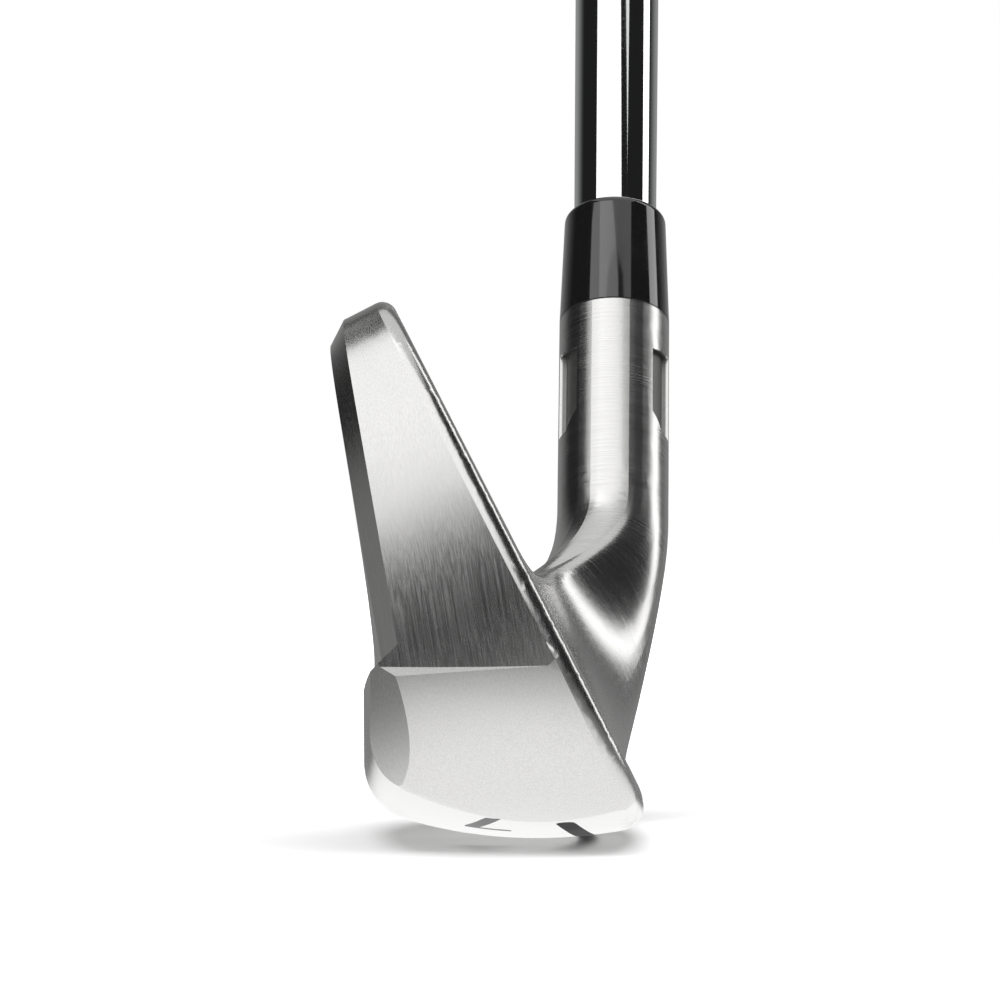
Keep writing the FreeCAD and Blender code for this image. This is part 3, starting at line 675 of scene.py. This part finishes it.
class GOLF_OT_stage(Operator):
    """Set the pale floor, the soft studio lights and the camera"""

    bl_idname = "golf.stage"
    bl_label = "Stage"

    def execute(self, context):
        studio = context.scene.studio_settings
        self.floor(studio)
        self.surroundings(context)
        # name, place, size, power, and whether the metal reflects it
        softboxes = (
            ("key_softbox", (-0.40, -1.14, 0.95), (2.64, 1.75), studio.key_power, True),
            ("strip_softbox", (1.05, 0.42, 0.48), (0.34, 1.7), studio.strip_power, True),
            ("overhead_fill", (0.0, 0.1, 2.0), (2.4, 2.4), studio.top_power, False),
            ("overhead_sheen", (0.0, 0.1, 1.9), (2.2, 2.0), studio.sheen_power, True),
        )
        for softbox in softboxes:
            self.light(context, *softbox)
        self.camera(context, studio)
        context.scene.view_settings.view_transform = "Standard"
        return {"FINISHED"}

    def floor(self, studio):
        """Pale to the camera, with a glow of its own that takes over away from the club."""
        mesh_data = bmesh.new()
        bmesh.ops.create_grid(mesh_data, x_segments=1, y_segments=1, size=6.0)
        material, tree, shader, given = new_finish("pale_floor", studio.floor, 0.0, 0.6)
        grain = noise(tree, given["Object"], 40.0, 3.0)
        feed(tree, shader["Roughness"], calc(tree, "MULTIPLY_ADD", grain, 0.2, 0.5))
        x, y, _ = parts_of(tree, given["Object"])
        glow = fade(tree, length_of(tree, x, y), 0.15, 0.7)
        feed(tree, shader["Emission Color"], joined(tree, glow, glow, glow))
        shader["Emission Strength"].default_value = 1.0

        # painted reflection: to reflection rays the floor is an emitter of its own, pale under the head, then
        # falling off, most in front of the toe
        dimmed = new_node(tree, "ShaderNodeMixShader")
        shade = new_node(tree, "ShaderNodeEmission")
        shares = [calc(tree, "DIVIDE", part, half) for part, half in zip((x, y), UNDER_HEAD)]
        away = length_of(tree, *shares)
        distant = fade(tree, y, -0.26, -0.04, 0.015, 0.26)
        tone = weigh(tree, fade(tree, away, 0.40, 1.02), 1.30, distant)
        feed(tree, shade.inputs["Color"], joined(tree, tone, tone, tone))
        feed(tree, dimmed.inputs[0], new_node(tree, "ShaderNodeLightPath").outputs["Is Glossy Ray"])
        tree.links.new(tree.nodes["Principled BSDF"].outputs[0], dimmed.inputs[1])
        tree.links.new(shade.outputs[0], dimmed.inputs[2])
        tree.links.new(dimmed.outputs[0], tree.nodes["Material Output"].inputs["Surface"])
        lowered = Matrix.Translation((0, 0, CAD_BOX[0][2]))
        floor = finished_piece("floor", mesh_data, lowered, material)

    def surroundings(self, context):
        """White to the camera, and a dim room with a paler rear wall to everything else."""
        world = bpy.data.worlds.new("studio")
        context.scene.world = world
        world.use_nodes = True
        tree = world.node_tree
        tree.nodes.clear()
        output = new_node(tree, "ShaderNodeOutputWorld")
        white = new_node(tree, "ShaderNodeBackground")
        room = new_node(tree, "ShaderNodeBackground")
        mixed = new_node(tree, "ShaderNodeMixShader")
        _, rear, _ = parts_of(tree, new_node(tree, "ShaderNodeTexCoord").outputs["Generated"])
        tone = fade(tree, rear, 0.40, 0.95, 0.015, 0.30)
        feed(tree, room.inputs["Color"], joined(tree, tone, tone, tone))
        feed(tree, mixed.inputs[0], new_node(tree, "ShaderNodeLightPath").outputs["Is Camera Ray"])
        tree.links.new(room.outputs[0], mixed.inputs[1])
        tree.links.new(white.outputs[0], mixed.inputs[2])
        tree.links.new(mixed.outputs[0], output.inputs["Surface"])
        white.inputs["Color"].default_value = (1, 1, 1, 1)

    def light(self, context, name, spot, size, power, reflected):
        """A soft rectangular light that faces the head."""
        data = bpy.data.lights.new(name, "AREA")
        data.shape = "RECTANGLE"
        data.size, data.size_y = size
        data.energy = power
        lamp = bpy.data.objects.new(name, data)
        aim = Vector((0, 0, 0.03)) - Vector(spot)
        turn = aim.to_track_quat("-Z", "Y").to_matrix().to_4x4()
        lamp.matrix_world = Matrix.Translation(spot) @ turn
        lamp.visible_glossy = reflected
        context.scene.collection.objects.link(lamp)

    def camera(self, context, studio):
        """A long lens at the height of the head, looking from the toe to the heel."""
        data = bpy.data.cameras.new("camera")
        data.sensor_width = 36
        data.lens = studio.focal_length
        eye = bpy.data.objects.new("camera", data)
        roll = studio.camera_roll
        right = Vector((math.cos(roll), 0, math.sin(roll)))
        up = Vector((-math.sin(roll), 0, math.cos(roll)))
        turn = Matrix((right, up, Vector((0, -1, 0)))).transposed().to_4x4()
        spot = Vector((studio.camera_shift, -studio.camera_distance, studio.camera_height))
        eye.matrix_world = Matrix.Translation(spot) @ turn
        context.scene.collection.objects.link(eye)
        context.scene.camera = eye


class GOLF_OT_head(Operator):
    """Finish the head's steel, its face plate and the plug of its foam port"""

    bl_idname = "golf.head"
    bl_label = "Head"

    def execute(self, context):
        sizes = context.scene.club_sizes
        finish = context.scene.club_finish
        put_on("head_body", club_steel(sizes, finish.steel))
        put_on("face_plate", face_steel(sizes, finish.face_steel))
        low, high = (Vector(corner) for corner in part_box("foam_port_plug"))
        centre = tuple((low + high) / 2)
        plug = turned_metal("faced_plug", finish.steel, 0.26, centre, (0, math.pi / 2, 0), 6000.0)
        put_on("foam_port_plug", plug)
        return {"FINISHED"}


class GOLF_OT_fillings(Operator):
    """Finish what is set into the head: slot insert, numeral and blank badge"""

    bl_idname = "golf.fillings"
    bl_label = "Slot, Numeral and Badge"

    def execute(self, context):
        finish = context.scene.club_finish
        polymer = moulded("slot_polymer", finish.polymer, 0.55, 5000.0, 0.00003, Specular_IOR_Level=0.04)
        enamel = moulded("black_enamel", finish.enamel, 0.3, 3000.0, 0.00001, Specular_IOR_Level=0.05)
        put_on("slot_insert", polymer)
        put_on("sole_number_fill", enamel)
        put_on("back_badge", anodised(finish.badge))
        return {"FINISHED"}


class GOLF_OT_inside(Operator):
    """Finish what is hidden: foam, weights, adhesive and tape"""

    bl_idname = "golf.inside"
    bl_label = "Hidden Parts"

    def execute(self, context):
        sizes = context.scene.club_sizes
        finish = context.scene.club_finish
        foot = shaft_frame(sizes).translation
        turn = (sizes.lie - math.pi / 2, 0, 0)
        put_on("foam_core", foamed(finish.foam))
        put_on("toe_weight", moulded("sintered_tungsten", finish.tungsten, 0.5, 2400.0, 0.00006))
        put_on("hosel_epoxy", cured_epoxy(finish.epoxy))
        put_on("tip_weight", turned_metal("turned_brass", finish.brass, 0.24, tuple(foot), turn, 4200.0))
        put_on("grip_tape", creped_tape(sizes, finish.tape))
        return {"FINISHED"}


class GOLF_OT_ferrule(Operator):
    """Turn the black ferrule above the hosel"""

    bl_idname = "golf.ferrule"
    bl_label = "Ferrule"

    def execute(self, context):
        sizes = context.scene.club_sizes
        rim = sizes.hosel_top
        top = rim + sizes.ferrule_length
        foot = sizes.hosel_diameter / 2
        outer = [(foot - 0.00012, rim), (foot, rim + 0.00016), (foot - 0.0001, rim + 0.003)]
        outer += rounded_corner(sizes.ferrule_top / 2, top, 1, 1, 0.00095, 10)
        inner = [(shaft_radius(sizes, top), top), (shaft_radius(sizes, rim), rim)]
        mesh_data = turned(outer + inner, 96)
        material = polished_plastic(context.scene.club_finish.ferrule)
        ferrule = finished_piece("turned_ferrule", mesh_data, shaft_frame(sizes), material, 28)
        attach(ferrule, "root")
        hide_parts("ferrule")
        return {"FINISHED"}


class GOLF_OT_shaft(Operator):
    """Turn the stepped, chrome-plated shaft"""

    bl_idname = "golf.shaft"
    bl_label = "Shaft"

    def execute(self, context):
        sizes = context.scene.club_sizes
        mesh_data = turned(shaft_profile(sizes), 96)
        material = plated_chrome(sizes, context.scene.club_finish.chrome)
        shaft = finished_piece("stepped_shaft", mesh_data, shaft_frame(sizes), material, 40)
        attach(shaft, "root")
        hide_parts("shaft")
        return {"FINISHED"}


class GOLF_OT_grip(Operator):
    """Mould the rubber grip with its staggered slots"""

    bl_idname = "golf.grip"
    bl_label = "Grip"

    def execute(self, context):
        sizes = context.scene.club_sizes
        bottom = sizes.club_length - sizes.grip_length
        top = sizes.club_length - sizes.cap_depth
        step = (top - bottom) / GRIP_ROWS
        bore = sizes.butt_diameter / 2 + 0.00018
        mouth = grip_radius(sizes, 0)
        profile = [(bore, bottom), (mouth - 0.0006, bottom), (mouth, bottom + 0.0007)]
        profile += [(grip_radius(sizes, row / GRIP_ROWS), bottom + row * step) for row in range(1, GRIP_ROWS)]
        profile += [(grip_radius(sizes, 1), top), (bore, top)]
        mesh_data = turned(profile, GRIP_SEGMENTS)
        slots = [face for face in mesh_data.faces if self.in_slot(face, bottom, step)]
        bmesh.ops.inset_region(
            mesh_data, faces=slots, thickness=0.00016, depth=-sizes.groove_depth,
            use_even_offset=True, use_boundary=True,
        )
        material = moulded("moulded_rubber", context.scene.club_finish.rubber, 0.62, 3600.0, 0.00005)
        grip = finished_piece("moulded_grip", mesh_data, shaft_frame(sizes), material, 30)
        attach(grip, "root")
        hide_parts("grip")
        return {"FINISHED"}

    def in_slot(self, face, bottom, step):
        """Whether a face lies in one of the staggered slots of the two textured bands."""
        middle = face.calc_center_median()
        if math.hypot(middle.x, middle.y) < GRIP_BORE_REACH:
            return False
        row = int((middle.z - bottom) / step)
        turn = (math.atan2(middle.y, middle.x) + math.pi) / (2 * math.pi)
        column = int(turn * GRIP_SEGMENTS + 0.25)
        band_start, band_end = GRIP_SMOOTH_BAND
        textured = GRIP_SMOOTH_END <= row < band_start or band_end <= row < GRIP_ROWS - GRIP_SMOOTH_END
        return textured and column % 2 == 0 and (row + column % 4) % 4 != 3


class GOLF_OT_cap(Operator):
    """Turn the grip's cap with its vent and ring groove"""

    bl_idname = "golf.cap"
    bl_label = "Grip Cap"

    def execute(self, context):
        sizes = context.scene.club_sizes
        bottom = sizes.club_length - sizes.cap_depth
        top = sizes.club_length
        edge = sizes.cap_diameter / 2
        vent = sizes.vent_diameter / 2
        profile = [(vent, bottom), (edge - 0.0002, bottom), (edge, bottom + 0.0002)]
        profile += rounded_corner(edge, top, 1, 1, 0.0025, 10)
        slope = 0.0003
        groove_outer, groove_inner, groove_depth = 0.0092, 0.0080, 0.0004
        dish, dish_depth = 0.0032, 0.0003
        profile += [
            (groove_outer, top), (groove_outer - slope, top - groove_depth),
            (groove_inner + slope, top - groove_depth), (groove_inner, top),
            (dish, top), (dish - slope, top - dish_depth),
            (vent + slope, top - dish_depth), (vent, top - 2 * dish_depth),
        ]
        mesh_data = turned(profile, 96)
        material = moulded("moulded_cap", context.scene.club_finish.rubber, 0.55, 4200.0, 0.00003)
        cap = finished_piece("moulded_grip_cap", mesh_data, shaft_frame(sizes), material, 30)
        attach(cap, "root")
        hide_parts("grip_cap")
        return {"FINISHED"}


class GOLF_PT_panel(Panel):
    """The club's operators, in the order they are run"""

    bl_idname = "GOLF_PT_panel"
    bl_label = "Golf Club"
    bl_space_type = "VIEW_3D"
    bl_region_type = "UI"
    bl_category = "Golf Club"

    def draw(self, context):
        for operator in OPERATORS:
            self.layout.operator(operator.bl_idname)


SETTINGS = {
    "club_sizes": ClubSizes,
    "club_finish": ClubFinish,
    "studio_settings": StudioSettings,
}
OPERATORS = (
    GOLF_OT_stage, GOLF_OT_head, GOLF_OT_fillings, GOLF_OT_inside, GOLF_OT_ferrule,
    GOLF_OT_shaft, GOLF_OT_grip, GOLF_OT_cap,
)


def register():
    for name, kind in SETTINGS.items():
        bpy.utils.register_class(kind)
        setattr(bpy.types.Scene, name, PointerProperty(type=kind))
    for kind in (*OPERATORS, GOLF_PT_panel):
        bpy.utils.register_class(kind)


def unregister():
    for kind in (GOLF_PT_panel, *reversed(OPERATORS)):
        bpy.utils.unregister_class(kind)
    for name, kind in SETTINGS.items():
        delattr(bpy.types.Scene, name)
        bpy.utils.unregister_class(kind)


def main():
    register()
    brushing_group()
    handling_group()
    grit_group()
    turning_group()
    bpy.ops.golf.stage()
    bpy.ops.golf.head()
    bpy.ops.golf.fillings()
    bpy.ops.golf.inside()
    bpy.ops.golf.ferrule()
    bpy.ops.golf.shaft()
    bpy.ops.golf.grip()
    bpy.ops.golf.cap()


if __name__ == "__main__":
    main()
